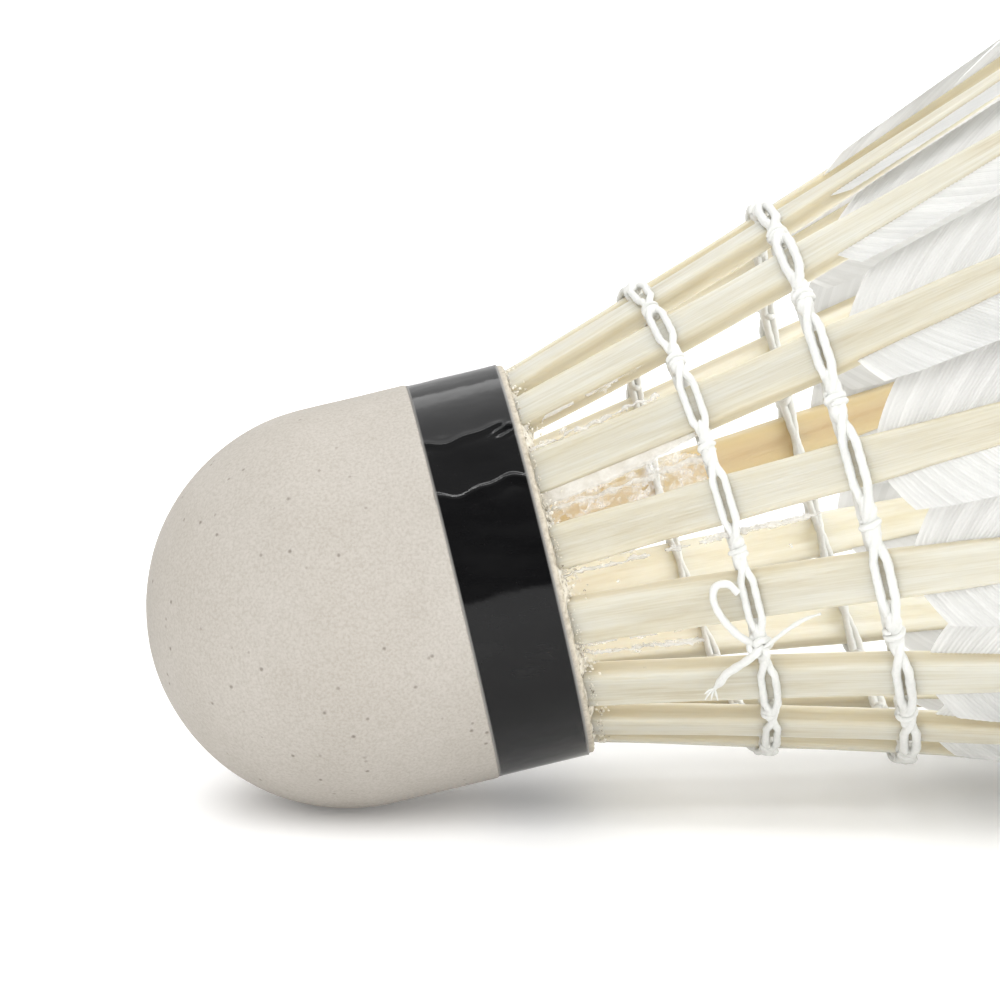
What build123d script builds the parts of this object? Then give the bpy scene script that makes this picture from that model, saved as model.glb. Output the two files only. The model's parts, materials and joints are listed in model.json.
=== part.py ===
"""Feather badminton shuttlecock, lying at rest on its cork and two feather tips.

Millimetres, +Z up, the floor is Z = 0. The shuttle's own axis starts at the skirt-side edge of the
tape and runs towards the feather tips. Distances are measured on that axis, so the cork is at
negative distances and the skirt at positive ones. Azimuths are measured around the axis from its
upper side towards -Y.
"""
from build123d import *

import os
from math import cos, hypot, radians, sin

# Cork: a cylinder with a hemispherical nose, in two layers under one skin
cork_radius = 13.15
nose_centre = -12.95
cork_face = 0.35
cover_thickness = 0.55

# Tape wound flush into a shallow seat in the skin
tape_radius = 13.1
tape_thickness = 0.15
tape_width = 6.0

# The sixteen feathers stand a little unevenly around the ring
feather_azimuths = (5.5, 25.5, 50, 74, 97.5, 122.5, 143.5, 162.5)
feather_azimuths += (181.5, 202.5, 223.5, 245.5, 268.5, 289, 314.5, 340)
full_turn = 360

# Quills, each a curved taper: distance along the axis, width, depth
quill_stations = (
    (-9.7, 2.3, 1.2),
    (0.0, 3.0, 1.5),
    (20.0, 3.1, 1.4),
    (40.0, 2.1, 1.2),
    (59.5, 0.9, 0.7),
)
quill_rounding = 0.16
ring_radius = 12.27
flare_slope = 0.293
flare_growth = 0.0008

# Vanes, flat webs that grow from the quill's sides just under its outer face
vane_middle = 41.0
vane_foot = -21.6
vane_tip = 20.8
vane_depth = 0.4
vane_thickness = 0.25
vane_turn = 10.0
narrow_edge = ((1.2, vane_foot), (2.8, -14.5), (4.4, -4.0), (5.2, 8.0), (4.9, 15.0), (2.8, 19.6))
wide_edge = ((-1.2, vane_foot), (-3.5, -14.5), (-6.2, -4.0), (-7.4, 8.0), (-7.0, 14.5), (-4.0, 19.4))

# Two rows of thread, each two strands outside the quills and two inside, tied in every gap
thread_radius = 0.27
thread_gap = 0.06
strand_offset = 0.24
tie_radius = 0.4
lower_row = 10.4
lower_row_rise = 1.1
lower_row_high_side = 96.0
upper_row = 19.5
knot_azimuth = 110.0
knot_radius = 0.8
knot_tails = ((2.2, -3.0), (-2.0, 4.0))

# Glue around the quills on the cork's face: distance from the axis, height above the face
glue_profile = ((9.1, 0.0), (12.2, 0.0), (12.1, 0.5), (11.5, 0.95), (10.0, 1.0), (9.3, 0.5))

# How the shuttle lies: the axis rises by rest_tilt until the lowest vanes touch the floor, and the
# skirt leans up from it by skirt_lean. face_x and face_y centre the box on the origin.
rest_tilt = 13.415
skirt_lean = 1.5
face_x = -20.62
face_y = -0.18

tilt = radians(rest_tilt)
lean = radians(rest_tilt + skirt_lean)
face_z = cork_radius - nose_centre * sin(tilt)
shuttle = Plane(
    origin=(face_x, face_y, face_z),
    x_dir=(-sin(tilt), 0, cos(tilt)),
    z_dir=(cos(tilt), 0, sin(tilt)),
)
skirt = Plane(
    origin=shuttle.origin,
    x_dir=(-sin(lean), 0, cos(lean)),
    z_dir=(cos(lean), 0, sin(lean)),
)
shuttle_axis = Axis(shuttle.origin, shuttle.z_dir)
shuttle_section = Plane(origin=shuttle.origin, x_dir=shuttle.x_dir, z_dir=-shuttle.y_dir)
parts_folder = "parts"


def outward_at(azimuth):
    """Direction straight out from the skirt's axis."""
    angle = radians(azimuth)
    return skirt.x_dir * cos(angle) + skirt.y_dir * sin(angle)


def quill_reach(distance):
    """How far the quills' outer faces are from the skirt's axis."""
    return ring_radius + flare_slope * distance + flare_growth * distance**2


def skirt_plane(azimuth, distance):
    """Plane across the skirt's wall: x around the skirt, y inwards, z towards the feather tips."""
    outward = outward_at(azimuth)
    slope = flare_slope + 2 * flare_growth * distance
    return Plane(
        origin=skirt.origin + skirt.z_dir * distance + outward * quill_reach(distance),
        x_dir=outward_at(azimuth + 90),
        z_dir=skirt.z_dir + outward * slope,
    )


def make_quill(azimuth):
    """One shaft, from the end glued into the cork to the tip of the vane."""
    with BuildPart() as quill:
        for distance, width, depth in quill_stations:
            with BuildSketch(skirt_plane(azimuth, distance)):
                with Locations((0, depth / 2)):
                    RectangleRounded(width, depth, quill_rounding * width)
        loft()
    return quill


def make_vane(azimuth, quill):
    """The webs on both sides of one quill, turned about it so that neighbours overlap."""
    middle = skirt_plane(azimuth, vane_middle)
    turn = radians(vane_turn)
    web_plane = Plane(
        origin=middle.origin + middle.y_dir * vane_depth,
        x_dir=middle.x_dir * cos(turn) - middle.y_dir * sin(turn),
        z_dir=-middle.y_dir * cos(turn) - middle.x_dir * sin(turn),
    )
    with BuildPart() as vane:
        with BuildSketch(web_plane):
            with BuildLine():
                Spline(*narrow_edge, (-0.5, vane_tip), *reversed(wide_edge))
                Line(wide_edge[0], narrow_edge[0])
            make_face()
        extrude(amount=vane_thickness)
        add(quill.part, mode=Mode.SUBTRACT)
    return vane


def thread_plane(row, rise, high_side):
    """Plane of one thread row. It tips by rise towards the feathers at the high side."""
    reach = quill_reach(row)
    shift = (quill_reach(row + rise) - quill_reach(row - rise)) / 2
    outward = outward_at(high_side)
    return Plane(
        origin=skirt.origin + skirt.z_dir * row + outward * shift,
        x_dir=skirt.x_dir,
        z_dir=skirt.z_dir * reach - outward * rise,
    )


def add_thread_row(row, rise, high_side):
    """Two strands outside the quills, two inside, and the crossing in each gap between them."""
    plane = thread_plane(row, rise, high_side)
    quill_width, quill_depth = quill_stations[1][1:]
    outer = hypot(quill_reach(row), quill_width / 2) + thread_radius + thread_gap
    inner = quill_reach(row) - quill_depth - 2 * thread_radius - thread_gap
    for side in (-strand_offset, strand_offset):
        with Locations(plane.offset(side)):
            Torus(outer + side * flare_slope, thread_radius)
            Torus(inner + side * flare_slope, thread_radius)
    next_azimuths = (*feather_azimuths[1:], feather_azimuths[0] + full_turn)
    for azimuth, next_azimuth in zip(feather_azimuths, next_azimuths):
        with Locations(plane):
            with PolarLocations((outer + inner) / 2, 1, (azimuth + next_azimuth) / 2):
                Cylinder(tie_radius, outer - inner, rotation=(0, 90, 0))


def hand_in(piece, name):
    """Names a finished piece and writes it."""
    piece.part.label = name
    export_step(piece.part, f"{parts_folder}/{name}.step")


os.makedirs(parts_folder, exist_ok=True)

quills = [make_quill(azimuth) for azimuth in feather_azimuths]
vanes = [make_vane(azimuth, quill) for azimuth, quill in zip(feather_azimuths, quills)]

# Cork body: the cylinder that holds the quills in its sockets
core_radius = cork_radius - cover_thickness
with BuildPart() as cork_body:
    with BuildSketch(shuttle.offset(nose_centre)):
        Circle(core_radius)
    extrude(amount=cork_face - nose_centre)
    for quill in quills:
        add(quill.part, mode=Mode.SUBTRACT)

# Cork nose: the second layer, a hemisphere
with BuildPart() as cork_nose:
    with BuildSketch(shuttle_section):
        with BuildLine():
            CenterArc((0, nose_centre), core_radius, -90, 90)
            Polyline((0, nose_centre - core_radius), (0, nose_centre), (core_radius, nose_centre))
        make_face()
    revolve(axis=shuttle_axis)

# Cover: one skin over the nose and the side, with the tape's seat
seat_radius = tape_radius - tape_thickness
with BuildPart() as cork_cover:
    with BuildSketch(shuttle_section):
        with BuildLine():
            CenterArc((0, nose_centre), cork_radius, -90, 90)
            Polyline(
                (cork_radius, nose_centre),
                (cork_radius, -tape_width),
                (seat_radius, -tape_width),
                (seat_radius, cork_face),
                (core_radius, cork_face),
                (core_radius, nose_centre),
            )
            CenterArc((0, nose_centre), core_radius, -90, 90)
            Line((0, nose_centre - core_radius), (0, nose_centre - cork_radius))
        make_face()
    revolve(axis=shuttle_axis)

# Tape
with BuildPart() as base_tape:
    with BuildSketch(shuttle):
        Circle(tape_radius)
        Circle(seat_radius, mode=Mode.SUBTRACT)
    extrude(amount=-tape_width)

# Glue that sets around the quills where they enter the cork
with BuildPart() as base_glue:
    with BuildSketch(shuttle_section):
        with BuildLine():
            Polyline(*[(reach, cork_face + height) for reach, height in glue_profile], close=True)
        make_face()
    revolve(axis=shuttle_axis)
    for quill in quills:
        add(quill.part, mode=Mode.SUBTRACT)

# Lower thread row, which is finished with a knot and two short tails
with BuildPart() as thread_row_lower:
    add_thread_row(lower_row, lower_row_rise, lower_row_high_side)
    wall = skirt_plane(knot_azimuth, lower_row + lower_row_rise)
    knot_plane = Plane(
        origin=wall.origin - wall.y_dir * (thread_gap + 2 * thread_radius),
        x_dir=wall.x_dir,
        z_dir=-wall.y_dir,
    )
    with Locations(knot_plane):
        Sphere(knot_radius)
    with BuildLine(knot_plane) as tails:
        Line(*knot_tails)
    with BuildSketch(Plane(origin=tails.line @ 0, z_dir=tails.line % 0)):
        Circle(thread_radius)
    sweep()

# Upper thread row, square to the skirt's axis
with BuildPart() as thread_row_upper:
    add_thread_row(upper_row, 0, 0)

hand_in(cork_body, "cork_body")
hand_in(cork_nose, "cork_nose")
hand_in(cork_cover, "cork_cover")
hand_in(base_tape, "base_tape")
hand_in(base_glue, "base_glue")
hand_in(thread_row_lower, "thread_row_lower")
hand_in(thread_row_upper, "thread_row_upper")
for number, (quill, vane) in enumerate(zip(quills, vanes), start=1):
    hand_in(quill, f"quill_{number:02d}")
    hand_in(vane, f"vane_{number:02d}")
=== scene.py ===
"""Looks of a feather badminton shuttlecock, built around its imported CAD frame.

Shapes are worked out in millimetres about the shuttle's own axis, then placed in the row frame in
metres. "Along" is measured on the axis from the tape's skirt-side edge towards the feather tips.
Azimuths are degrees around the axis, from its upper side towards -Y. Quills are counted from 0, and
a half is the middle of a gap, so 4.5 lies between quills 4 and 5.
"""

import json
from math import cos, pi, radians, sin

import bpy
import numpy as np
from mathutils import Matrix, Vector, noise


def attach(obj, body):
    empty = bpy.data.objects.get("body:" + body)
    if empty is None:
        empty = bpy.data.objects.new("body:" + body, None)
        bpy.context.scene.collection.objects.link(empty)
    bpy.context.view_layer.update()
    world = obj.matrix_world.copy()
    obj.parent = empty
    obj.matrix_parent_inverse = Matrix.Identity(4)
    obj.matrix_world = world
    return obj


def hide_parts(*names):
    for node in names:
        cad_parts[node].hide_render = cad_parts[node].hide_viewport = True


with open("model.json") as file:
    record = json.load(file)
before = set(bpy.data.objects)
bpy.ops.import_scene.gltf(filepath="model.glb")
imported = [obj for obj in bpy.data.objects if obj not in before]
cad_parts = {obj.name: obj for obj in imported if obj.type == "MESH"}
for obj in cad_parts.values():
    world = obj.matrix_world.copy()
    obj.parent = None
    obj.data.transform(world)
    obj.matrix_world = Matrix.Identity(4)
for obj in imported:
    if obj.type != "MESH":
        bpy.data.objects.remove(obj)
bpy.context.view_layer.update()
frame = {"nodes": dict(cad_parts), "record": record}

MM = 0.001

# Sizes that the CAD part also has
CORK_RADIUS = 13.15
NOSE_CENTRE = -12.95
CORK_FACE = 0.35
COVER_THICKNESS = 0.55
TAPE_RADIUS = 13.1
TAPE_THICKNESS = 0.15
TAPE_WIDTH = 6.0
AZIMUTHS = (5.5, 25.5, 50, 74, 97.5, 122.5, 143.5, 162.5)
AZIMUTHS += (181.5, 202.5, 223.5, 245.5, 268.5, 289, 314.5, 340)
FEATHERS = len(AZIMUTHS)
RING_RADIUS = 12.27
FLARE_SLOPE = 0.293
FLARE_GROWTH = 0.0008
QUILL_STATIONS = (  # along, width, depth
    (-9.7, 2.3, 1.2),
    (0.0, 3.0, 1.5),
    (20.0, 3.1, 1.4),
    (40.0, 2.1, 1.2),
    (59.5, 0.9, 0.7),
)
VANE_MIDDLE = 41.0
VANE_DEPTH = 0.4
VANE_TURN = 10.0
VANE_FOOT = -21.6
VANE_TIP = 20.8
LOWER_ROW = 10.4
LOWER_ROW_RISE = 1.1
LOWER_ROW_HIGH_SIDE = 96.0
UPPER_ROW = 19.5
SIDE_MIDDLE = 6.3

# Outlines of a vane's two webs: distance from the shaft, place along it. Their feet are fuller than
# the CAD's, as in the photograph.
NARROW_EDGE = ((1.4, VANE_FOOT), (2.9, -21.2), (3.7, -20.2), (4.1, -17.5), (4.4, -12.0))
NARROW_EDGE += ((4.9, -4.0), (5.2, 8.0), (4.9, 15.0), (2.8, 19.6), (0.0, VANE_TIP))
WIDE_EDGE = ((1.4, VANE_FOOT), (3.3, -21.1), (4.6, -19.8), (5.3, -17.0), (5.8, -12.0))
WIDE_EDGE += ((6.7, -4.0), (7.4, 8.0), (7.0, 14.5), (4.0, 19.4), (0.0, VANE_TIP))
# How much further from the cork than the others a few vanes start
LATE_VANES = {0: 2.6, 1: 1.4, 15: 3.4}
BARB_SPACING = 0.27
BROWN_QUILL = 12
KNOT_PLACE = 4.5
CRUMBS = 1700
# Radius of each row's thread, and how far its two strands part over a quill
LOWER_THREAD = (0.25, 0.19)
UPPER_THREAD = (0.31, 0.13)

# Each ripple in the tape: azimuth, width in degrees, height
TAPE_RIPPLES = ((34.5, 1.2, 0.085), (53.0, 1.3, 0.15), (45.5, 2.6, -0.05))
TAPE_RIPPLES += ((240.0, 2.0, 0.06), (171.0, 1.5, 0.05))
TAPE_CURL = 35.3

# Each film of glue: the quill before its gap, its first and last distance along, the milky share of
# the gap, the place of its crest, and how whole it is
FILMS = (
    (1, 0.7, 9.4, 0.14, 0.90, -0.15),
    (2, 0.6, 11.2, 0.42, 0.55, 0.35),
    (3, 0.6, 17.0, 0.05, 0.20, -0.25),
    (4, 0.6, 8.6, 0.16, 0.38, -0.05),
    (9, 0.6, 8.0, 0.15, 0.60, 0.20),
    (12, 0.6, 7.0, 0.10, 0.50, 0.20),
    (14, 0.6, 5.0, 0.20, 0.40, 0.20),
)

# The camera, matched to the photograph: angles in radians but for its rise, lens in millimetres
CAMERA_RISE = 13.7
CAMERA_DISTANCE = 300.0
CAMERA_ALONG = -10.518
CAMERA_PAN = 0.029265
CAMERA_TILT = 0.014673
CAMERA_ROLL = -0.235335
LENS = 165.8

# Lamps in watts, and how brightly the room and the floor glow
OVERHEAD = 9.0
PANEL = 1.3
FRONT = 8.0
SIDE = 11.0
BACKDROP = 15.0
STRIP = 3.0
ROOM = 0.60
FLOOR_GLOW = 0.11
FLOOR_REACH = 6.0

mounts = {mount["name"]: mount for mount in frame["record"]["mounts"]}
cork_side, skirt_mouth = mounts["cork_side"], mounts["skirt_mouth"]


class Axes:
    """Directions about a line through the middle of the cork's face, in millimetres."""

    def __init__(self, direction):
        self.axis = np.array(Vector(direction).normalized())
        self.side = np.array((0.0, -1.0, 0.0))
        self.up = np.cross(self.side, self.axis)

    def outward(self, azimuth):
        angle = np.radians(np.asarray(azimuth, float))[..., None]
        return self.up * np.cos(angle) + self.side * np.sin(angle)

    def points(self, azimuth, reach, along):
        azimuth, reach, along = np.broadcast_arrays(*map(np.asarray, (azimuth, reach, along)))
        from_axis = self.outward(azimuth) * reach[..., None]
        return FACE_MIDDLE + from_axis + self.axis * along[..., None]


cork = Axes(-Vector(cork_side["axis"]))
skirt = Axes(skirt_mouth["axis"])
FACE_MIDDLE = np.array(cork_side["pos_m"]) / MM + cork.axis * SIDE_MIDDLE

# The quills' numbers and azimuths, carried a little past the full turn at both ends
COUNTS = np.arange(-1, FEATHERS + 2)
ROUND = np.array([AZIMUTHS[-1] - 360, *AZIMUTHS, AZIMUTHS[0] + 360, AZIMUTHS[1] + 360])


def azimuth_of(number):
    """Azimuth of a quill, or of a place between two."""
    return np.interp(number, COUNTS, ROUND)


def number_at(azimuth):
    """The reverse: whole on a quill, and a half in the middle of a gap."""
    turned = (np.asarray(azimuth, float) - AZIMUTHS[0]) % 360 + AZIMUTHS[0]
    return np.interp(turned, ROUND, COUNTS)


def gap_around(number):
    """Degrees from the quill before this place to the next."""
    return azimuth_of(np.floor(number) + 1) - azimuth_of(np.floor(number))


def quill_reach(along):
    """How far the quills' outer faces are from the skirt's axis."""
    return RING_RADIUS + FLARE_SLOPE * along + FLARE_GROWTH * along**2


def wall(azimuth, along):
    """Origin on the quills' outer faces, and the directions around, inwards and to the tips."""
    azimuth, along = np.broadcast_arrays(np.asarray(azimuth, float), np.asarray(along, float))
    outward = skirt.outward(azimuth)
    slope = FLARE_SLOPE + 2 * FLARE_GROWTH * along
    origin = skirt.points(azimuth, quill_reach(along), along)
    around = skirt.outward(azimuth + 90)
    tips = skirt.axis + outward * slope[..., None]
    tips /= np.linalg.norm(tips, axis=-1, keepdims=True)
    return origin, around, np.cross(tips, around), tips


def quill_size(along):
    """Width and depth of the quills."""
    places, widths, depths = np.array(QUILL_STATIONS).T
    return np.interp(along, places, widths), np.interp(along, places, depths)


def wobble(points, size, seed=0.0):
    """Smooth noise from -1 to 1 at each point, with features about that size in millimetres."""
    flat = np.asarray(points, float).reshape(-1, 3) / size
    values = [noise.noise(Vector((x + seed, y - seed, z + 2 * seed))) for x, y, z in flat]
    return np.array(values).reshape(np.shape(points)[:-1])


# ---------------------------------------------------------------------------------- materials


class Shader:
    """A material's node tree, with short names for the nodes that these materials use."""

    def __init__(self, name):
        self.material = bpy.data.materials.new(name)
        self.material.use_nodes = True
        self.tree = self.material.node_tree
        self.surface = self.tree.nodes["Principled BSDF"]

    def put(self, socket, value):
        """Links a node's output to a socket, or sets the socket to a constant."""
        if isinstance(value, bpy.types.NodeSocket):
            self.tree.links.new(value, socket)
        else:
            socket.default_value = value

    def node(self, kind, values=None, **settings):
        made = self.tree.nodes.new(kind)
        for key, value in settings.items():
            setattr(made, key, value)
        for key, value in (values or {}).items():
            self.put(made.inputs[key], value)
        return made

    def set(self, **values):
        for key, value in values.items():
            self.put(self.surface.inputs[key.replace("_", " ")], value)

    def stretched(self, vector, scale):
        return self.node("ShaderNodeMapping", {"Vector": vector, "Scale": scale}).outputs[0]

    def position(self, stretch=(1, 1, 1)):
        return self.stretched(self.node("ShaderNodeTexCoord").outputs["Object"], stretch)

    def attribute(self, name):
        return self.node("ShaderNodeAttribute", attribute_name=name).outputs["Fac"]

    def noise(self, vector, scale, detail=3.0, roughness=0.55):
        values = {"Vector": vector, "Scale": scale, "Detail": detail, "Roughness": roughness}
        return self.node("ShaderNodeTexNoise", values).outputs["Fac"]

    def cells(self, vector, scale, output="Distance", feature="F1"):
        values = {"Vector": vector, "Scale": scale, "Randomness": 1.0}
        return self.node("ShaderNodeTexVoronoi", values, feature=feature).outputs[output]

    def pick(self, colour):
        """One number of a colour, such as a cell's own."""
        return self.node("ShaderNodeSeparateColor", {0: colour}).outputs[0]

    def ramp(self, factor, *stops):
        made = self.node("ShaderNodeValToRGB", {"Fac": factor})
        elements = made.color_ramp.elements
        while len(elements) < len(stops):
            elements.new(1.0)
        for element, (place, colour) in zip(elements, stops):
            element.position = place
            element.color = (*colour, 1)
        return made.outputs["Color"]

    def span(self, value, low, high, to_low=0.0, to_high=1.0):
        """Maps a range of a value to another range, and clamps it there."""
        values = {
            "Value": value, "From Min": low, "From Max": high, "To Min": to_low, "To Max": to_high,
        }
        return self.node("ShaderNodeMapRange", values).outputs["Result"]

    def mix(self, factor, first, second, blend="MIX"):
        made = self.node("ShaderNodeMix", data_type="RGBA", blend_type=blend)
        self.put(made.inputs[0], factor)
        for key, colour in ((6, first), (7, second)):
            self.put(made.inputs[key], (*colour, 1) if isinstance(colour, tuple) else colour)
        return made.outputs[2]

    def darken(self, share, colour, factor, low, tint, high):
        """Multiplies a colour by a tint where factor is low, and leaves it where factor is high."""
        tints = self.ramp(factor, (low, tint), (high, (1, 1, 1)))
        return self.mix(share, colour, tints, "MULTIPLY")

    def math(self, operation, first, second):
        return self.node("ShaderNodeMath", {0: first, 1: second}, operation=operation).outputs[0]

    def times(self, first, second):
        return self.math("MULTIPLY", first, second)

    def bump(self, height, depth):
        """depth is the height's full swing in millimetres."""
        values = {"Height": height, "Distance": depth * MM, "Strength": 1.0}
        self.set(Normal=self.node("ShaderNodeBump", values).outputs[0])


def cover_material():
    """Thin matte skin, cream-grey, with fine grain, dark pits and a paler cut edge."""
    s = Shader("cover_skin")
    place = s.position()
    mottle = s.noise(place, 160, 4)
    colour = s.ramp(mottle, (0.3, (0.435, 0.405, 0.362)), (0.7, (0.470, 0.441, 0.400)))
    grain = s.noise(place, 5200, 3, 0.65)
    colour = s.darken(0.6, colour, grain, 0.35, (0.76, 0.74, 0.71), 0.62)
    near = s.span(s.cells(place, 1050), 0.17, 0.05)
    pit = s.times(near, s.span(s.pick(s.cells(place, 1050, "Color")), 0.68, 0.72))
    colour = s.mix(s.times(pit, 0.7), colour, (0.17, 0.145, 0.12))
    fray = s.noise(place, 2600, 3, 0.7)
    cut = s.ramp(fray, (0.35, (0.40, 0.35, 0.27)), (0.6, (0.60, 0.55, 0.45)))
    colour = s.mix(s.attribute("lip"), colour, cut)
    s.set(Base_Color=colour, Roughness=0.82, Specular_IOR_Level=0.25)
    s.bump(s.math("SUBTRACT", s.times(grain, 0.35), pit), 0.05)
    return s.material


def cork_material():
    """Pressed cork: granules of several browns with darker joints."""
    s = Shader("pressed_cork")
    place = s.position()
    tone = s.pick(s.cells(place, 900, "Color"))
    browns = ((0.0, (0.30, 0.17, 0.085)), (0.45, (0.50, 0.32, 0.17)), (1.0, (0.66, 0.46, 0.28)))
    colour = s.ramp(tone, *browns)
    joint = s.cells(place, 900, "Distance", "DISTANCE_TO_EDGE")
    colour = s.mix(s.span(joint, 0.09, 0.0, 0.0, 0.75), colour, (0.11, 0.055, 0.025))
    colour = s.darken(0.4, colour, s.noise(place, 5000, 3), 0.3, (0.6, 0.6, 0.6), 0.7)
    s.set(Base_Color=colour, Roughness=0.9)
    s.bump(s.span(joint, 0.0, 0.15), 0.08)
    return s.material


def tape_material():
    """Black plastic tape: glossy, with a soft unevenness and paler, duller cut edges."""
    s = Shader("black_tape")
    place = s.position()
    fine = s.noise(place, 1500, 4, 0.6)
    smears = s.noise(s.position((1, 1, 3)), 220, 3)
    edge = s.attribute("edge")
    colour = s.ramp(smears, (0.3, (0.0038, 0.0038, 0.0041)), (0.7, (0.0070, 0.0070, 0.0073)))
    colour = s.mix(edge, colour, (0.34, 0.33, 0.31))
    rough = s.math("ADD", s.span(smears, 0.3, 0.7, 0.08, 0.14), s.times(edge, 0.4))
    s.set(Base_Color=colour, Roughness=rough, Specular_IOR_Level=0.21)
    s.bump(s.math("ADD", s.noise(place, 420, 2), s.times(fine, 0.12)), 0.035)
    return s.material


def quill_material():
    """Feather shaft: cream horn with long streaks. "tone" browns the odd shaft; a darker brown
    on its side faces is painted shade, and its whiter inner face is painted light."""
    s = Shader("feather_shaft")
    lanes = [s.attribute(f"lane_{way}") for way in ("around", "along", "quill")]
    lanes = s.node("ShaderNodeCombineXYZ", dict(enumerate(lanes))).outputs[0]
    streak = s.noise(lanes, 1.0, 4, 0.6)
    wide = s.noise(lanes, 0.28, 2)
    fine = s.noise(s.stretched(lanes, (1, 0.22, 1)), 3.6, 3, 0.6)
    tone = s.attribute("tone")
    horn = [(0.28, (0.475, 0.432, 0.322)), (0.5, (0.545, 0.522, 0.428))]
    colour = s.ramp(streak, *horn, (0.75, (0.575, 0.560, 0.492)))
    colour = s.mix(s.span(wide, 0.35, 0.7), colour, (0.590, 0.590, 0.540))
    colour = s.darken(0.5, colour, fine, 0.34, (0.80, 0.76, 0.66), 0.58)
    colour = s.mix(tone, colour, (0.61, 0.49, 0.28))
    # Painted shade: a darker brown on each shaft's side faces
    colour = s.mix(s.times(s.attribute("side"), 0.45), colour, (0.52, 0.45, 0.30))
    # Painted light: a whiter inner face, standing in for light shining through the shaft
    painted_inner_light = s.times(s.attribute("painted_inner_light"), s.span(tone, 0.1, 0.5, 0.8, 0.0))
    inner = s.ramp(streak, (0.3, (0.76, 0.71, 0.58)), (0.6, (0.84, 0.81, 0.71)))
    s.set(Base_Color=s.mix(painted_inner_light, colour, inner), Roughness=s.span(streak, 0.2, 0.8, 0.5, 0.36))
    s.set(Subsurface_Weight=0.8, Subsurface_Radius=(1.0, 0.9, 0.7), Subsurface_Scale=2.2 * MM)
    s.bump(s.math("ADD", streak, s.times(fine, 0.5)), 0.04)
    return s.material


def vane_material():
    """Feather web: white barbs that let some light through, with painted shade near their roots."""
    s = Shader("feather_web")
    place = s.position()
    colour = s.ramp(s.noise(place, 140, 3), (0.3, (0.85, 0.85, 0.84)), (0.7, (0.93, 0.93, 0.92)))
    # Painted shade: barbs grey towards the shaft, where the web meets it
    colour = s.mix(s.times(s.attribute("root"), 0.35), colour, (0.66, 0.655, 0.625))
    colour = s.mix(s.times(s.attribute("shade"), 0.25), colour, (0.60, 0.60, 0.58))
    s.set(Base_Color=colour, Roughness=0.55, Sheen_Weight=0.25, Sheen_Roughness=0.4)
    s.bump(s.noise(place, 6000, 2), 0.01)
    through = s.node("ShaderNodeBsdfTranslucent", {"Color": colour}).outputs[0]
    mixed = s.node("ShaderNodeMixShader", {0: 0.55, 1: s.surface.outputs[0], 2: through})
    s.put(s.tree.nodes["Material Output"].inputs["Surface"], mixed.outputs[0])
    return s.material


def thread_material():
    """White twisted thread, stiff with dried glue."""
    s = Shader("glued_thread")
    place = s.position()
    fibres = s.noise(place, 4200, 3, 0.65)
    colour = s.ramp(s.noise(place, 500, 3), (0.3, (0.66, 0.66, 0.63)), (0.7, (0.74, 0.74, 0.71)))
    colour = s.darken(0.5, colour, fibres, 0.3, (0.86, 0.87, 0.87), 0.6)
    s.set(Base_Color=colour, Roughness=0.6, Coat_Weight=0.15, Coat_Roughness=0.35)
    s.bump(fibres, 0.02)
    return s.material


def glue_material():
    """Dried clear glue: see-through with sharp glints, and milky by the "milk" attribute."""
    s = Shader("clear_glue")
    place = s.position()
    milk = s.attribute("milk")
    cloud = s.noise(place, 1100, 3, 0.65)
    clear = s.ramp(cloud, (0.35, (0.86, 0.86, 0.84)), (0.65, (0.96, 0.96, 0.95)))
    dregs = s.noise(place, 700, 4, 0.7)
    milky = s.ramp(dregs, (0.3, (0.58, 0.54, 0.46)), (0.65, (0.76, 0.73, 0.66)))
    s.set(Base_Color=s.mix(milk, clear, milky), Roughness=s.span(milk, 0, 1, 0.08, 0.32))
    sheer = s.span(cloud, 0.42, 0.66, 0.05, 0.42)
    solid = s.math("MAXIMUM", sheer, s.span(milk, 0.1, 0.9, 0.0, 0.93))
    s.set(Alpha=solid, Specular_IOR_Level=0.9)
    s.bump(s.noise(place, 2400, 3, 0.7), 0.10)
    return s.material


def crust_material():
    """Thick dried glue round the roots: milky, grey-cream and grainy."""
    s = Shader("glue_crust")
    place = s.position()
    cloud = s.noise(place, 1500, 4, 0.7)
    creams = ((0.36, (0.25, 0.22, 0.17)), (0.46, (0.72, 0.67, 0.56)), (0.7, (0.86, 0.83, 0.75)))
    s.set(Base_Color=s.ramp(cloud, *creams), Roughness=s.span(cloud, 0.3, 0.7, 0.18, 0.6))
    s.set(Subsurface_Weight=0.3, Subsurface_Radius=(1.0, 0.95, 0.85), Subsurface_Scale=0.5 * MM)
    s.bump(s.noise(place, 3500, 3, 0.7), 0.10)
    return s.material


# ------------------------------------------------------------------------------------- meshes


def add_piece(name, points, faces, material, slot, smooth=True, **attributes):
    """A piece of the shuttle from points in millimetres. Attributes are one number per point."""
    mesh = bpy.data.meshes.new(name)
    points = (np.asarray(points).reshape(-1, 3) * MM).tolist()
    mesh.from_pydata(points, [], [tuple(map(int, face)) for face in faces])
    for key, values in attributes.items():
        layer = mesh.attributes.new(key, "FLOAT", "POINT")
        layer.data.foreach_set("value", np.asarray(values, np.float32))
    mesh.materials.append(material)
    if smooth:
        mesh.shade_smooth()
    piece = bpy.data.objects.new(name, mesh)
    bpy.context.scene.collection.objects.link(piece)
    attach(piece, "root")
    return piece


def grid_faces(rows, columns, wrap_rows=False, wrap_columns=False):
    """Quads between neighbouring points of a grid stored row by row."""
    faces = []
    for row in range(rows if wrap_rows else rows - 1):
        here, after = row * columns, (row + 1) % rows * columns
        for column in range(columns if wrap_columns else columns - 1):
            beside = (column + 1) % columns
            faces.append((here + column, here + beside, after + beside, after + column))
    return faces


def tube_faces(rows, columns):
    """Faces of a tube of rings, with a cap at both ends."""
    faces = grid_faces(rows, columns, wrap_columns=True)
    faces.append(tuple(range(columns))[::-1])
    faces.append(tuple((rows - 1) * columns + column for column in range(columns)))
    return faces


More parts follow.
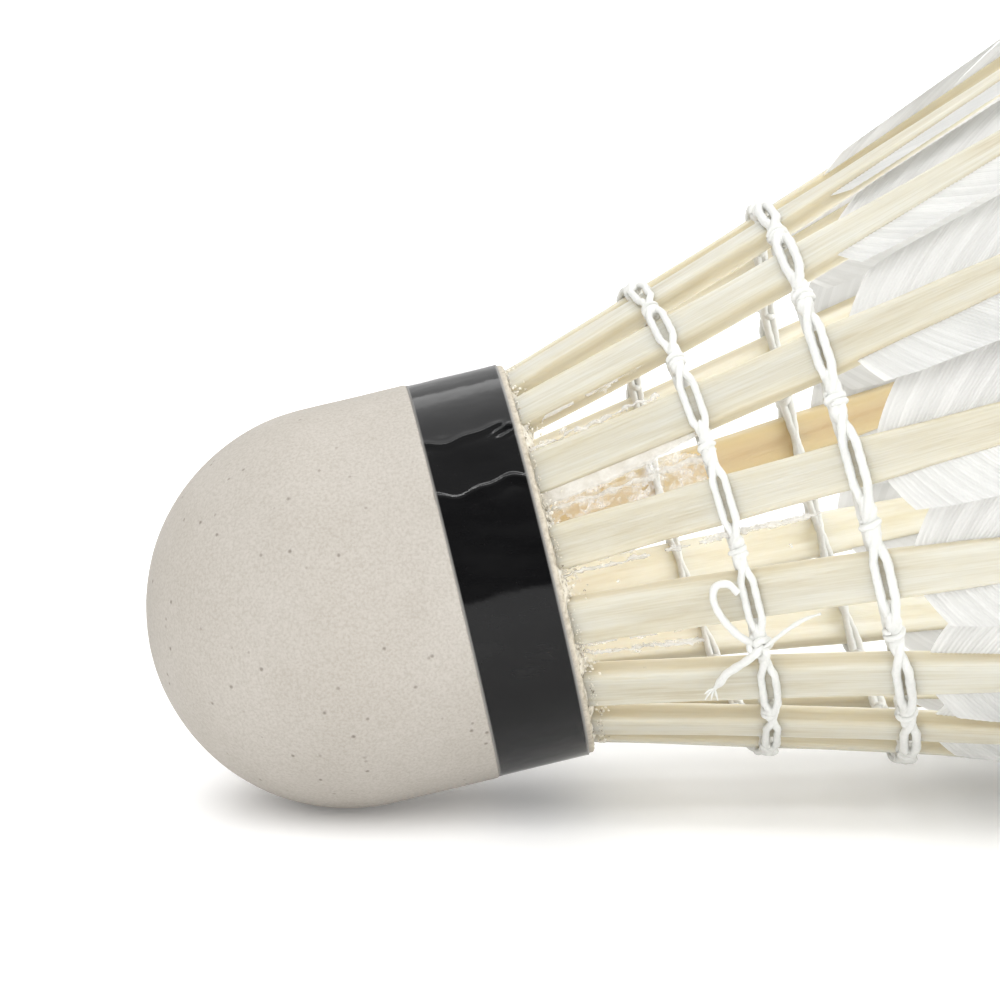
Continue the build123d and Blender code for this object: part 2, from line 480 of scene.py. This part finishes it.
class Batch:
    """Collects shapes that make one mesh."""

    def __init__(self):
        self.points, self.faces, self.values = [], [], {}
        self.count = 0

    def add(self, points, faces, **values):
        points = np.asarray(points, float).reshape(-1, 3)
        self.points.append(points)
        self.faces += [tuple(corner + self.count for corner in face) for face in faces]
        for key, numbers in values.items():
            self.values.setdefault(key, []).append(np.broadcast_to(numbers, len(points)))
        self.count += len(points)

    def tube(self, path, section, closed=False):
        """Sweeps a section along a path: rows of (normal, binormal) offsets for each path point."""
        path = np.asarray(path, float)
        if closed:
            tangents = np.roll(path, -1, 0) - np.roll(path, 1, 0)
        else:
            tangents = np.gradient(path, axis=0)
        tangents /= np.linalg.norm(tangents, axis=1, keepdims=True)
        outward = path - FACE_MIDDLE
        outward = outward - (outward @ skirt.axis)[:, None] * skirt.axis
        normals = outward - (outward * tangents).sum(1, keepdims=True) * tangents
        normals /= np.linalg.norm(normals, axis=1, keepdims=True) + 1e-9
        binormals = np.cross(tangents, normals)
        rings = path[:, None] + section[..., :1] * normals[:, None]
        rings = rings + section[..., 1:] * binormals[:, None]
        rows, columns = rings.shape[:2]
        if closed:
            self.add(rings, grid_faces(rows, columns, wrap_rows=True, wrap_columns=True))
        else:
            self.add(rings, tube_faces(rows, columns))

    def piece(self, name, material, slot, smooth=True):
        points = np.concatenate(self.points)
        attributes = {key: np.concatenate(rows) for key, rows in self.values.items()}
        return add_piece(name, points, self.faces, material, slot, smooth, **attributes)


# --------------------------------------------------------------------------------------- cork


def make_cover(material):
    """The skin: a cylinder and a hemispherical nose, slightly uneven, with a rough cut edge."""
    columns = 256
    azimuths = np.arange(columns) * 360 / columns
    seat = TAPE_RADIUS - TAPE_THICKNESS
    inner = CORK_RADIUS - COVER_THICKNESS
    lip = [(inner, CORK_FACE), (inner + 0.08, CORK_FACE + 0.03)]
    lip += [(seat - 0.09, CORK_FACE + 0.03), (seat, CORK_FACE - 0.07)]
    side = [(seat, -0.05), (seat, -TAPE_WIDTH + 0.02), (CORK_RADIUS - 0.05, -TAPE_WIDTH - 0.01)]
    side += [(CORK_RADIUS, along) for along in np.linspace(-TAPE_WIDTH - 0.12, NOSE_CENTRE, 14)]
    turns = np.linspace(0, pi / 2, 44)[1:-1]
    nose = [(CORK_RADIUS * cos(turn), NOSE_CENTRE - CORK_RADIUS * sin(turn)) for turn in turns]
    profile = np.array(lip + side + nose)
    points = cork.points(azimuths[None], profile[:, :1], profile[:, 1:])
    swell = wobble(points, 9.0, 3.0) * 0.05 + wobble(points, 2.5, 7.0) * 0.012
    # The lip and the seat under the tape keep their radius
    outside = np.arange(len(profile)) >= len(lip) + 2
    middle = FACE_MIDDLE + cork.axis * NOSE_CENTRE
    away = points - middle
    away /= np.linalg.norm(away, axis=-1, keepdims=True)
    points -= away * (np.abs(swell) * outside[:, None])[..., None]
    edge = points[:len(lip)]
    ragged = wobble(edge, 0.7, 11.0) * 0.06 + wobble(edge, 0.25, 12.0) * 0.04
    points[:len(lip)] += cork.axis * ragged[..., None]
    faces = grid_faces(len(profile), columns, wrap_columns=True)
    tip = middle - cork.axis * CORK_RADIUS
    last = (len(profile) - 1) * columns
    faces += [
        (last + column, last + (column + 1) % columns, last + columns) for column in range(columns)
    ]
    points = np.vstack([points.reshape(-1, 3), tip])
    on_lip = np.append(np.repeat(np.arange(len(profile)) < len(lip), columns), False)
    piece = add_piece("cover_skin", points, faces, material, "cover", lip=on_lip)
    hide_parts("cork_cover")


def make_tape(material):
    """The tape band, with ripples where it was stretched and a small lifted curl at its edge."""
    columns, rows = 720, 34
    azimuths = np.arange(columns) * 360 / columns
    across = np.linspace(-TAPE_WIDTH, 0, rows)
    along, azimuth = np.meshgrid(across, azimuths, indexing="ij")
    sway = 1.1 * np.sin(along * 1.1) + 0.5 * np.sin(along * 2.6 + 1)
    height = np.zeros_like(along)
    for place, width, lift in TAPE_RIPPLES:
        turn = (azimuth - place - sway + 180) % 360 - 180
        height += lift * np.exp(-((turn / width) ** 2))
    curl = ((azimuth - TAPE_CURL + 180) % 360 - 180) / 2.2
    lifted = np.exp(-(curl**2) - ((along + 0.7) / 0.5) ** 2)
    height += 0.10 * lifted * np.sin(curl * 5 + along * 5)
    base = cork.points(azimuth, TAPE_RADIUS, along)
    height += 0.018 * wobble(base, 3.2, 5.0) + 0.006 * wobble(base, 1.1, 8.0) - 0.03
    outer = cork.points(azimuth, TAPE_RADIUS + height, along)
    inset = np.full((2, 1), TAPE_RADIUS - 0.13)
    inset = cork.points(azimuths[None], inset, np.array([[-TAPE_WIDTH], [0.0]]))
    points = np.concatenate([inset[:1], outer, inset[1:]])
    edge = np.zeros(points.shape[:2])
    edge[:2] = edge[-2:] = 1
    faces = grid_faces(rows + 2, columns, wrap_columns=True)
    piece = add_piece("tape_band", points, faces, material, "tape", edge=edge.ravel())
    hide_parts("base_tape")


# ----------------------------------------------------------------------------------- feathers


def make_quill(number, random, material):
    """A flat-faced shaft with softly rounded corners, a groove inside and fine long ridges."""
    tone = 0.85 if number == BROWN_QUILL else max(0.0, random.normal(0.02, 0.05))
    stoutness = random.uniform(0.94, 1.05)
    sway = random.uniform(-0.12, 0.12)
    twist = radians(random.uniform(-5, 5))
    shift = random.uniform(0, 50)
    along = np.concatenate([np.linspace(-0.6, 22, 60), np.linspace(22.6, 59.5, 50)])
    origin, around, inward, _ = wall(azimuth_of(number), along)
    width, depth = quill_size(along)
    width = width[:, None] * stoutness
    along, depth = along[:, None], depth[:, None]
    turn = np.linspace(0, 2 * pi, 36, endpoint=False)
    squareness = 0.42
    across = np.sign(np.cos(turn)) * np.abs(np.cos(turn)) ** squareness
    down = np.sign(np.sin(turn)) * np.abs(np.sin(turn)) ** squareness
    x = across * width / 2
    y = (down + 1) * depth / 2
    groove = np.clip((along - 8) / 12, 0, 1) * 0.28 * depth
    y = y - groove * (down > 0.5) * np.exp(-((across / 0.3) ** 2))
    lanes = np.stack(np.broadcast_arrays(x * 2.2, along * 0.16, shift + 3.0 * y), -1)
    rough = wobble(lanes, 1.0) * 0.05 + wobble(lanes * 2.3, 1.0, 5.0) * 0.02
    y = y + rough * (down < 0)
    x = x * (1 + 0.035 * wobble(lanes * (0, 1.4, 0) + (0, 0, shift), 1.0))
    bend = sway * np.sin(np.clip(along / 22, 0, 1) * pi)
    twist = twist * np.clip(along / 30, 0, 1)
    middle = depth / 2
    y = y - middle
    x, y = x * np.cos(twist) - y * np.sin(twist), middle + x * np.sin(twist) + y * np.cos(twist)
    points = origin[:, None] + around[:, None] * (x + bend)[..., None]
    points = points + inward[:, None] * y[..., None]
    values = {
        "lane_around": across * 3.4,
        "lane_along": along * 0.22,
        "lane_quill": shift + down * 1.5,
        # Mask of the side faces, which get painted shade
        "side": np.clip(np.abs(across) * 2 - np.abs(down) * 1.2 - 0.4, 0, 1),
        "tone": tone,
        # Mask of the inner face, which gets painted light
        "painted_inner_light": np.clip(down * 2 - 0.6, 0, 1),
    }
    values = {key: np.broadcast_to(value, x.shape).ravel() for key, value in values.items()}
    name = f"shaft_{number + 1:02d}"
    piece = add_piece(name, points, tube_faces(*x.shape), material, "quill", **values)
    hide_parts(f"quill_{number + 1:02d}")


def web_frame(azimuth):
    """Origin and directions of a vane: towards its narrow side, along the shaft, and outwards."""
    origin, around, inward, tips = wall(azimuth, VANE_MIDDLE)
    turn = radians(VANE_TURN)
    across = around * cos(turn) - inward * sin(turn)
    outward = -inward * cos(turn) - around * sin(turn)
    return origin + inward * VANE_DEPTH, across, tips, outward


def barb_path(edge, late, start, splay, steps=8):
    """Points (across, along) of one barb, from the shaft to the vane's edge. A late vane starts
    that much nearer the tip."""
    outline = np.array(edge)
    outline[:, 1] += late * np.clip((-8 - outline[:, 1]) / 13.6, 0, 1)
    rise = 0.3 + 1.8 * max((start - VANE_FOOT - late) / (VANE_TIP - VANE_FOOT), 0) ** 0.7
    reach = np.linspace(0, 8, 801)
    line = start + rise * reach + 0.055 * reach**2
    limit = np.interp(line, outline[:, 1], outline[:, 0], right=-1)
    out = np.nonzero(reach > limit)[0]
    end = reach[out[0]] if len(out) else reach[-1]
    across = np.linspace(0.0, max(end, 0.3), steps)
    share = across / across[-1]
    return np.stack([across, start + rise * across + 0.055 * across**2 + splay * share**2], -1)


def make_vane(number, random, material):
    """Two webs of separate barbs, each a thin three-sided blade, with a few splits."""
    origin, across, tips, outward = web_frame(azimuth_of(number))
    batch = Batch()
    late = LATE_VANES.get(number, random.uniform(0, 0.8))
    for hand, edge in ((1, NARROW_EDGE), (-1, WIDE_EDGE)):
        starts = np.arange(VANE_FOOT + late, VANE_TIP - 1.2, BARB_SPACING)
        splits = sorted(random.uniform(VANE_FOOT + 6, VANE_TIP - 6, 3))
        for start in starts:
            gap = min((start - split for split in splits), key=abs)
            splay = 0.32 * np.sign(gap) * np.exp(-abs(gap) / 0.9) + random.uniform(-0.05, 0.05)
            hold = quill_size(VANE_MIDDLE + start * 0.95)[0] / 2 - 0.12
            lines = []
            for step, lift in ((-0.66, -0.012), (0.66, 0.014), (0.1, 0.055)):
                path = barb_path(edge, late, start + step * BARB_SPACING, splay)
                x = np.maximum(path[:, 0], hold * np.linspace(1, 0, len(path)))
                bend = 0.02 * wobble(np.insert(path, 2, number, 1), 2.0)
                bend = bend - 0.010 * path[:, 0] ** 2 + lift
                line = origin + across * (hand * x[:, None]) + tips * path[:, 1:]
                lines.append(line + outward * bend[:, None])
            faces = tube_faces(len(path), len(lines))
            if hand < 0:
                faces = [face[::-1] for face in faces]
            # Share of painted shade, strongest at each barb's root beside the shaft
            root = np.repeat(np.exp(-path[:, 0] / 0.9), len(lines))
            batch.add(np.stack(lines, 1), faces, root=root, shade=random.uniform(0, 1))
    piece = batch.piece(f"web_{number + 1:02d}", material, "vane", smooth=False)
    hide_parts(f"vane_{number + 1:02d}")


# ------------------------------------------------------------------------------------- thread


def ply_section(length, radius, twist, ways=10, plies=2):
    """Section of a twisted thread: a round with a lobe for each ply, which turns along it."""
    turn = np.linspace(0, 2 * pi, ways, endpoint=False)[None]
    lobes = 0.88 + 0.12 * np.abs(np.cos((turn - twist * length[:, None]) * plies / 2))
    return np.stack([np.cos(turn) * lobes, np.sin(turn) * lobes], -1) * radius[:, None, None]


def run_length(path):
    """How far along a path each of its points is."""
    return np.concatenate([[0], np.cumsum(np.linalg.norm(np.diff(path, axis=0), axis=1))])


def add_strand(batch, path, radius, closed=False, taper=0.0):
    """One thread along a path, with slight swelling, and thinning at its ends by taper."""
    length = run_length(path)
    thick = radius * (1 + 0.10 * wobble(path, 1.1, 4.0))
    if taper:
        share = length / length[-1]
        thick = thick * np.clip(np.minimum(share, 1 - share) / taper, 0.25, 1) ** 0.5
    batch.tube(path, ply_section(length, thick, 3.4), closed)


def row_along(azimuth, row, rise):
    """Distance along the axis of a thread row, which is furthest from the cork at its high side."""
    return row + rise * np.cos(np.radians(azimuth - LOWER_ROW_HIGH_SIDE))


def smooth_path(knots, count):
    """A rounded path through a few points."""
    knots = np.asarray(knots, float)
    ends = np.vstack([2 * knots[0] - knots[1], knots, 2 * knots[-1] - knots[-2]])
    place = np.linspace(0, len(knots) - 1, count)
    index = np.minimum(place.astype(int), len(knots) - 2)
    t = (place - index)[:, None]
    a, b, c, d = (ends[index + step] for step in range(4))
    bend, turn = 2 * a - 5 * b + 4 * c - d, 3 * b - a - 3 * c + d
    return 0.5 * (2 * b + (c - a) * t + bend * t**2 + turn * t**3)


def thread_reach(azimuth, along, radius, inside=False):
    """Distance from the axis of a thread that is tight over the quills and dips in each gap."""
    number = number_at(azimuth)
    phase = (number + 0.5) % 1 - 0.5
    width, depth = quill_size(along)
    reach = quill_reach(along)
    offset = np.radians(phase * gap_around(number)) * reach
    edge = width / 2 + 0.1
    half_gap = np.radians(gap_around(number) / 2) * reach
    in_gap = np.clip((np.abs(offset) - edge) / (half_gap - edge), 0, 1)
    flat = np.sqrt(reach**2 + np.minimum(np.abs(offset), edge) ** 2)
    if inside:
        return flat - depth - radius + 0.45 * np.sin(in_gap * pi / 2) ** 2
    return flat + radius + 0.05 - 0.42 * np.sin(in_gap * pi / 2) ** 2


def make_row(name, node, row, rise, radius, parting, random, material, ending=None):
    """Two strands side by side over each quill, drawn together in each gap by turns of thread."""
    batch = Batch()
    samples = FEATHERS * 36
    phase = np.arange(samples) * FEATHERS / samples
    azimuth = azimuth_of(phase)
    uneven = random.uniform(-0.14, 0.14, FEATHERS + 1)
    uneven = np.interp(phase, np.arange(FEATHERS + 1), uneven)
    near = (phase + 0.5) % 1 - 0.5
    offset = np.abs(np.radians(near * gap_around(phase)) * quill_reach(row))
    half_gap = np.radians(gap_around(phase) / 2) * quill_reach(row)
    half = quill_size(row)[0] / 2
    apart = np.clip((half + 0.4 - offset) / 0.75, 0, 1)
    spread = 0.8 * radius + parting * apart**2 * (3 - 2 * apart)
    twist = pi * np.clip((offset - half - 0.2) / (half_gap - half - 0.2), 0, 1)
    twist = np.where(near < 0, -twist, twist)
    middle_level = row_along(azimuth, row, rise)
    for hand in (-1, 1):
        level = middle_level + hand * spread * np.cos(twist) + 0.4 * uneven * (1 + hand)
        reach = thread_reach(azimuth, level, radius) + hand * spread * np.sin(twist)
        add_strand(batch, skirt.points(azimuth, reach, level), radius, closed=True)
        level = middle_level + hand * 0.25 * np.sin(phase * pi)
        reach = thread_reach(azimuth, level, radius, inside=True)
        add_strand(batch, skirt.points(azimuth, reach, level), radius * 0.95, closed=True)
    for gap in range(FEATHERS):
        middle = float(azimuth_of(gap + 0.5)) + random.uniform(-1.2, 1.2)
        level = row_along(middle, row, rise) + 0.6 * float(np.interp(gap + 0.5, phase, uneven))
        outer = float(thread_reach(middle, level, radius))
        inner = float(thread_reach(middle, level, radius, inside=True))
        # Turns of thread round both strands
        turns = random.choice((1.5, 2.0, 2.5))
        turn = np.linspace(0, 2 * pi * turns, int(26 * turns))
        start = random.uniform(0, 2 * pi)
        slide = (turn / (2 * pi) - turns / 2) * 0.40
        size = 1.55 * radius + 0.05 * np.sin(turn * 0.7 + start)
        around = middle + np.degrees(slide / outer)
        reach = outer - 0.02 + size * np.sin(turn + start)
        coil = skirt.points(around, reach, level + (size + 0.06) * np.cos(turn + start))
        add_strand(batch, coil, radius * 0.74, taper=0.08)
        # A sleeve of glue-soaked thread under them
        length = float(np.interp(middle, azimuth, half_gap - half)) * random.uniform(0.75, 1.0)
        share = np.linspace(-1, 1, 24)
        bulge = 1.65 * radius + 0.12 * wobble(share[:, None] * (3.0, 0, 0), 1.0, gap)
        bulge = bulge * (1 - share**4) + 0.05
        around = middle + np.degrees(share * length / outer)
        reach = thread_reach(around, level, 0.22)
        path = skirt.points(around, reach, level + 0.05 * np.sin(share * 4 + start))
        batch.tube(path, ply_section(run_length(path), bulge, 2.6, ways=14, plies=3))
        # The loop that ties the outer strands to the inner ones
        turn = np.linspace(0, 2 * pi, 40, endpoint=False)
        reach = (outer + inner) / 2 + ((outer - inner) / 2 + 0.30) * np.cos(turn)
        around = middle + np.degrees(0.2 * np.sin(turn + start) / outer)
        path = skirt.points(around, reach, level + 0.30 * np.sin(turn))
        add_strand(batch, path, radius * 0.8, closed=True)
    if ending:
        ending(batch, random, radius)
    piece = batch.piece(name, material, "thread")
    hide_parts(node)


def add_knot(batch, random, radius):
    """The knot that ends the lower row, its two tails with parted plies, and a slack loop."""
    middle = azimuth_of(KNOT_PLACE) - 1.0
    level = row_along(middle, LOWER_ROW, LOWER_ROW_RISE)
    origin, around, inward, tips = wall(middle, level)

    def place(spots):
        """Spots (around, towards the tips, outwards) on the wall beside the knot."""
        return [origin + around * x + tips * y - inward * z for x, y, z in spots]

    turn = np.linspace(0, 2 * pi, 120, endpoint=False)
    swing = 0.52 + 0.24 * np.cos(3 * turn)
    x, y = swing * np.cos(2 * turn), 0.85 * swing * np.sin(2 * turn)
    coil = place(zip(x, y, 0.42 + 0.30 * np.sin(3 * turn)))
    add_strand(batch, np.array(coil), radius * 1.05, closed=True)
    low_tail = [(-0.3, 0.3, 0.7), (0.4, -0.5, 0.85), (1.1, -1.5, 0.75)]
    low_tail += [(1.7, -2.4, 0.62), (2.3, -2.9, 0.55), (2.75, -3.35, 0.6)]
    high_tail = [(0.2, -0.2, 0.75), (-0.4, 0.7, 0.8), (-1.1, 1.9, 0.5)]
    high_tail += [(-1.7, 3.1, 0.4), (-2.0, 4.2, 0.35)]
    loop = [(-0.3, -0.4, 0.5), (-1.3, -1.2, 0.72), (-2.6, -1.9, 0.7), (-3.9, -2.2, 0.66)]
    loop += [(-4.9, -1.9, 0.62), (-5.0, -1.1, 0.6), (-4.3, -0.6, 0.62)]
    for spots, thick, taper in ((low_tail, 1.15, 0.12), (high_tail, 0.6, 0.3), (loop, 1.0, 0.0)):
        add_strand(batch, smooth_path(place(spots), 60), radius * thick, taper=taper)
    end = low_tail[-1]
    for _ in range(7):
        away = random.uniform((-0.1, -0.9, -0.15), (0.8, 0.1, 0.35))
        hair = [end, np.add(end, away * 0.5), np.add(end, away + (0.1, 0.05, 0.05))]
        add_strand(batch, smooth_path(place(hair), 12), radius * 0.3, taper=0.4)


# --------------------------------------------------------------------------------------- glue


def make_crust(random, material):
    """The glue bead on the cork's face: it fills between the quills and has sharp crumbs on it."""
    columns = 720
    azimuths = np.arange(columns) * 360 / columns
    phase = np.abs((number_at(azimuths) + 0.5) % 1 - 0.5) * 2
    climb = 0.55 + 0.5 * (1 - phase) ** 2
    profile = [(9.0, 0.02), (9.5, 0.45), (10.4, 0.8), (11.2, 0.9)]
    profile = np.array(profile + [(11.8, 0.7), (12.15, 0.35), (12.5, 0.02)])
    points = cork.points(azimuths[None], profile[:, :1], CORK_FACE + profile[:, 1:] * climb)
    rough = 0.20 * wobble(points, 0.75, 2.0) + 0.12 * wobble(points, 0.3, 6.0)
    rough[0] = rough[-1] = 0
    points += cork.axis * rough[..., None]
    batch = Batch()
    batch.add(points, grid_faces(len(profile), columns, wrap_columns=True))
    crystal = np.array([(1, 0, 0), (-1, 0, 0), (0, 1, 0), (0, -1, 0), (0, 0, 1), (0, 0, -1)], float)
    sides = [(4, 0, 2), (4, 2, 1), (4, 1, 3), (4, 3, 0), (5, 2, 0), (5, 1, 2), (5, 3, 1), (5, 0, 3)]
    for _ in range(CRUMBS):
        number = random.uniform(0, FEATHERS)
        along = CORK_FACE + 0.2 + abs(random.normal(0, 0.6))
        off_quill = abs((number + 0.5) % 1 - 0.5) * radians(gap_around(number)) * quill_reach(along)
        in_gap = off_quill > quill_size(along)[0] / 2 - 0.1
        if not in_gap and along > CORK_FACE + 0.55:
            continue
        reach = quill_reach(along) - (random.uniform(0.0, 1.3) if in_gap else 0.0)
        size = random.uniform(0.05, 0.15, 3) * (1.0 if in_gap else 0.7)
        spin = np.linalg.qr(random.normal(size=(3, 3)))[0]
        middle = skirt.points(float(azimuth_of(number)), reach, along)
        batch.add(middle + (crystal * size) @ spin, sides)
    piece = batch.piece("glue_crust", material, "glue", smooth=False)
    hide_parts("base_glue")


def make_film(name, gap, first, last, milk_to, crest, keep_above, material):
    """A crumpled film of clear glue across one gap. It is milky and smooth beside the gap's first
    quill, up to milk_to of the way across, and folds up into a crest further on."""
    rows, columns = int((last - first) * 10), 30
    along = np.linspace(first, last, rows)[:, None]
    share = np.linspace(0, 1, columns)[None]
    reach = quill_reach(along)
    half = quill_size(along)[0] / 2 - 0.06
    start = azimuth_of(gap) + np.degrees(half / reach)
    end = azimuth_of(gap + 1) - np.degrees(half / reach)
    azimuth = start + (end - start) * share
    flat = skirt.points(azimuth, reach, along)

    def waves(size, seed):
        return wobble(flat, size, gap + seed)

    milk_to = milk_to * (1 - 0.55 * ((along - first) / (last - first)) ** 2)
    loose = np.clip((share - milk_to * 0.7) / 0.15, 0.08, 1) * np.clip((1 - share) / 0.12, 0.15, 1)
    fold = np.exp(-(((share - crest - 0.05 * waves(1.6, 31)) / 0.075) ** 2))
    crumple = 0.30 * waves(0.75, 0) + 0.20 * waves(0.33, 5) + 0.09 * waves(0.15, 9)
    lift = -0.30 - 0.55 * np.sin(share * pi) + loose * crumple
    lift = lift + fold * (0.30 + 0.25 * waves(0.5, 13))
    slip = loose * 0.16 * waves(0.45, 3)
    points = skirt.points(azimuth + np.degrees(slip / reach), reach + lift, along + slip)
    tear = waves(1.0, 20) + 0.8 * np.clip((along - last + 1.5) / 1.5, 0, 1) ** 2
    tear = tear - 0.6 * (share < milk_to) - 0.7 * fold + 0.4 * (1 - fold) * (keep_above < 0)
    faces = grid_faces(rows, columns)
    faces = [face for face in faces if tear.ravel()[list(face)].mean() < keep_above]
    milk = np.clip((milk_to - share) / 0.12, 0, 1) * np.clip((last - along) / 0.8, 0, 1)
    milk = np.clip(milk + 0.75 * fold + 0.25 * waves(0.4, 40), 0, 1)
    piece = add_piece(name, points, faces, material, "glue", milk=milk.ravel())
    piece.modifiers.new("thickness", "SOLIDIFY").thickness = 0.03 * MM


# ------------------------------------------------------------------------- camera and lighting


def make_camera():
    """A long lens that looks across the cork, from a little above the floor."""
    rise = radians(CAMERA_RISE)
    toward = cork.side * cos(rise) + cork.up * sin(rise)
    away = -toward
    upright = np.cross(cork.axis, away)
    place = FACE_MIDDLE + cork.axis * CAMERA_ALONG + toward * CAMERA_DISTANCE
    forward = cork.axis * sin(CAMERA_PAN) * cos(CAMERA_TILT)
    forward = forward + away * cos(CAMERA_PAN) * cos(CAMERA_TILT) + upright * sin(CAMERA_TILT)
    level = np.cross(forward, upright)
    level /= np.linalg.norm(level)
    high = np.cross(level, forward)
    right = cos(CAMERA_ROLL) * level + sin(CAMERA_ROLL) * high
    top = cos(CAMERA_ROLL) * high - sin(CAMERA_ROLL) * level
    data = bpy.data.cameras.new("camera")
    data.lens = LENS
    data.clip_start, data.clip_end = 0.01, 20
    camera = bpy.data.objects.new("camera", data)
    turn = Matrix((right, top, -forward)).transposed().to_4x4()
    camera.matrix_world = Matrix.Translation(Vector(place * MM)) @ turn
    bpy.context.scene.collection.objects.link(camera)
    bpy.context.scene.camera = camera


def add_light(name, place, size, power, target):
    data = bpy.data.lights.new(name, "AREA")
    data.size = size
    data.energy = power
    light = bpy.data.objects.new(name, data)
    light.location = place
    light.rotation_euler = (Vector(target) - Vector(place)).to_track_quat("-Z", "Y").to_euler()
    bpy.context.scene.collection.objects.link(light)
    return light


def make_studio():
    """A white, faintly glowing floor in a dim room under soft lamps. The front and side lamps cast
    no glints, and the backdrop and the strip show only in reflections, such as the tape's."""
    scene = bpy.context.scene
    scene.view_settings.view_transform = "Standard"
    world = bpy.data.worlds.new("studio")
    world.use_nodes = True
    background = world.node_tree.nodes["Background"]
    background.inputs["Color"].default_value = (1, 1, 1, 1)
    background.inputs["Strength"].default_value = ROOM
    world.cycles_visibility.glossy = False
    scene.world = world
    add_light("overhead", (0, 0.78, 0.9), 1.25, OVERHEAD, (0, 0.78, 0))
    add_light("panel", (0, -0.25, 1.0), 0.9, PANEL, (0, -0.25, 0))
    front = add_light("front", (-0.25, -0.7, 0.75), 1.0, FRONT, (0, 0, 0.03))
    side = add_light("side", (0.95, -0.1, 0.3), 0.8, SIDE, (0, 0, 0.03))
    front.visible_glossy = side.visible_glossy = False
    backdrop = add_light("backdrop", (0, 2.2, 0.7), 2.4, BACKDROP, (0, 0, 0.05))
    strip = add_light("strip", (0, 0.15, 0.9), 0.8, STRIP, (0, 0.15, 0))
    strip.data.shape, strip.data.size_y = "RECTANGLE", 0.08
    backdrop.visible_diffuse = backdrop.visible_camera = strip.visible_diffuse = False
    pale = Shader("floor")
    pale.set(Base_Color=(0.95, 0.95, 0.95, 1), Roughness=0.9)
    pale.set(Emission_Color=(1, 1, 1, 1), Emission_Strength=FLOOR_GLOW)
    mesh = bpy.data.meshes.new("floor")
    signs = ((-1, -1), (1, -1), (1, 1), (-1, 1))
    corners = [(FLOOR_REACH * x, FLOOR_REACH * y, 0) for x, y in signs]
    mesh.from_pydata(corners, [], [(0, 1, 2, 3)])
    mesh.materials.append(pale.material)
    floor = bpy.data.objects.new("floor", mesh)
    scene.collection.objects.link(floor)


# --------------------------------------------------------------------------------------- make

make_camera()
make_studio()

cork_looks = cork_material()
for node in ("cork_body", "cork_nose"):
    frame["nodes"][node].data.materials.clear()
    frame["nodes"][node].data.materials.append(cork_looks)

make_cover(cover_material())
make_tape(tape_material())

quill_looks, web_looks, thread_looks = quill_material(), vane_material(), thread_material()
for number in range(FEATHERS):
    random = np.random.default_rng(100 + number)
    make_quill(number, random, quill_looks)
    make_vane(number, random, web_looks)

random = np.random.default_rng(7)
lower = (LOWER_ROW, LOWER_ROW_RISE, *LOWER_THREAD)
make_row("lower_thread", "thread_row_lower", *lower, random, thread_looks, ending=add_knot)
random = np.random.default_rng(8)
upper = (UPPER_ROW, 0.0, *UPPER_THREAD)
make_row("upper_thread", "thread_row_upper", *upper, random, thread_looks)

make_crust(np.random.default_rng(9), crust_material())
film_looks = glue_material()
for number, film in enumerate(FILMS, start=1):
    make_film(f"glue_film_{number}", *film, film_looks)
